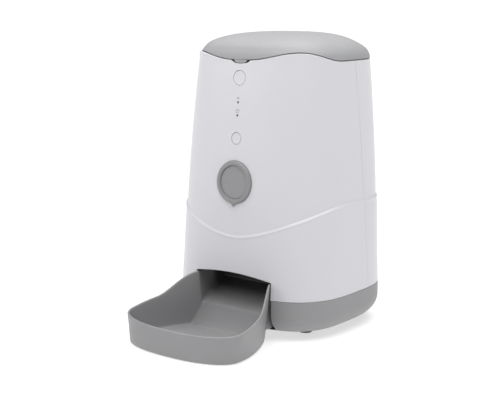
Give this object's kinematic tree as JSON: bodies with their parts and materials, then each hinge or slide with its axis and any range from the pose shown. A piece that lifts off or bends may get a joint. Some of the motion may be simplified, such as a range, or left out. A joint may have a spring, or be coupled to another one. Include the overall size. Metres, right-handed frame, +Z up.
{
  "type": "automatic pet feeder",
  "caption": "Countertop dry-food feeder: tapered white housing with a grey base, hinged domed lid over a hopper, motor-driven portion rotor, chute and pull-out grey bowl.",
  "frame": {"origin": "middle of the footprint's bounding box on the floor, under the feet", "axes": "+Z up, -Y is the front where the bowl pulls out, +X is the left side as the feeder faces out"},
  "size_m": [0.2148, 0.2985, 0.3346],
  "materials": {
    "housing_white": "smooth gloss moulded plastic",
    "grey_shell": "fine satin moulded plastic",
    "badge_grey": "satin moulded plastic",
    "key_white": "gloss moulded plastic",
    "hopper_clear": "smoke translucent plastic",
    "inner_white": "plain moulded plastic",
    "rotor_white": "soft satin plastic",
    "gear_nylon": "natural nylon",
    "dark_plastic": "dark moulded plastic",
    "rubber_grey": "soft rubber",
    "seal_silicone": "silicone",
    "steel": "zinc-plated steel",
    "bronze": "sintered bronze",
    "board_green": "solder-masked board",
    "lead_red": "insulated wire",
    "lead_black": "insulated wire",
    "ribbon_grey": "flat cable",
    "light_clear": "clear light pipe",
    "sachet_paper": "non-woven paper",
    "cell_wrap": "shrink-wrapped cell"
  },
  "bodies": {
    "housing": {"front_shell": "housing_white", "rear_shell": "housing_white", "base": "grey_shell", "feet": "rubber_grey", "base_screws": "steel", "support_columns": "inner_white", "deck": "inner_white", "deck_screws": "steel", "outlet_chute": "dark_plastic", "rotor_well": "inner_white", "flow_shield": "rotor_white", "hopper": "hopper_clear", "level_sensors": "dark_plastic", "gearbox_case": "dark_plastic", "gearbox_screws": "steel", "idler_axle": "steel", "motor": "steel", "motor_screws": "steel", "rotor_bush": "bronze", "battery_box": "dark_plastic", "battery_contacts": "steel", "backup_cells": "cell_wrap", "main_board": "board_green", "board_parts": "dark_plastic", "board_standoffs": "inner_white", "board_screws": "steel", "speaker": "dark_plastic", "dc_jack": "dark_plastic", "power_leads": "lead_black", "motor_leads": "lead_red", "panel_ribbon": "ribbon_grey", "control_bracket": "inner_white", "control_board": "board_green", "tact_switches": "dark_plastic", "light_pipes": "light_clear", "panel_screws": "steel", "badge_ring": "badge_grey", "badge_disc": "badge_grey", "latch_catch": "housing_white", "hinge_bracket": "inner_white", "hinge_screws": "steel", "hinge_pins": "steel", "battery_door": "grey_shell"},
    "lid": {"lid_shell": "grey_shell", "lid_liner": "inner_white", "lid_seal": "seal_silicone", "lid_hinge_arm": "grey_shell", "desiccant_bag": "sachet_paper"},
    "latch": {"lid_latch": "grey_shell"},
    "desiccant_cap": {"desiccant_cover": "inner_white"},
    "feed_key": {"feed_button": "key_white"},
    "pair_key": {"pair_button": "key_white"},
    "bowl": {"bowl": "grey_shell", "bowl_pads": "rubber_grey"},
    "rotor": {"rotor": "rotor_white", "agitator": "rotor_white", "rotor_shaft": "steel", "drive_gear": "gear_nylon"},
    "idler": {"idler_gear": "gear_nylon"},
    "pinion": {"motor_pinion": "gear_nylon"}
  },
  "joints": [
    {"name": "lid_hinge", "type": "hinge", "parent": "housing", "child": "lid", "pos_m": [0, 0.14576, 0.3039], "axis": [-1, 0, 0], "range_deg": [0, 80]},
    {"name": "latch_press", "type": "slide", "parent": "lid", "child": "latch", "axis": [0, 1, 0], "range_m": [0, 0.0024], "stiffness_N_per_m": 900},
    {"name": "desiccant_twist", "type": "hinge", "parent": "lid", "child": "desiccant_cap", "pos_m": [0, 0.05946, 0.301], "axis": [0, 0, 1], "range_deg": [0, 30]},
    {"name": "feed_press", "type": "slide", "parent": "housing", "child": "feed_key", "axis": [0, 0.9961, -0.088], "range_m": [0, 0.001], "stiffness_N_per_m": 1500},
    {"name": "pair_press", "type": "slide", "parent": "housing", "child": "pair_key", "axis": [0, 0.9961, -0.088], "range_m": [0, 0.001], "stiffness_N_per_m": 1500},
    {"name": "bowl_slide", "type": "slide", "parent": "housing", "child": "bowl", "axis": [0, -1, 0], "range_m": [0, 0.11]},
    {"name": "rotor_spin", "type": "hinge", "parent": "housing", "child": "rotor", "pos_m": [0, 0.06646, 0.13], "axis": [0, 0, 1], "continuous": true},
    {"name": "idler_spin", "type": "hinge", "parent": "housing", "child": "idler", "pos_m": [0, 0.09846, 0.098], "axis": [0, 0, 1], "continuous": true},
    {"name": "pinion_spin", "type": "hinge", "parent": "housing", "child": "pinion", "pos_m": [0, 0.12246, 0.1], "axis": [0, 0, 1], "continuous": true}
  ],
  "couplings": [
    {"joint": "idler_spin", "follows": "rotor_spin", "ratio": -3.5714},
    {"joint": "pinion_spin", "follows": "rotor_spin", "ratio": 10.714}
  ]
}
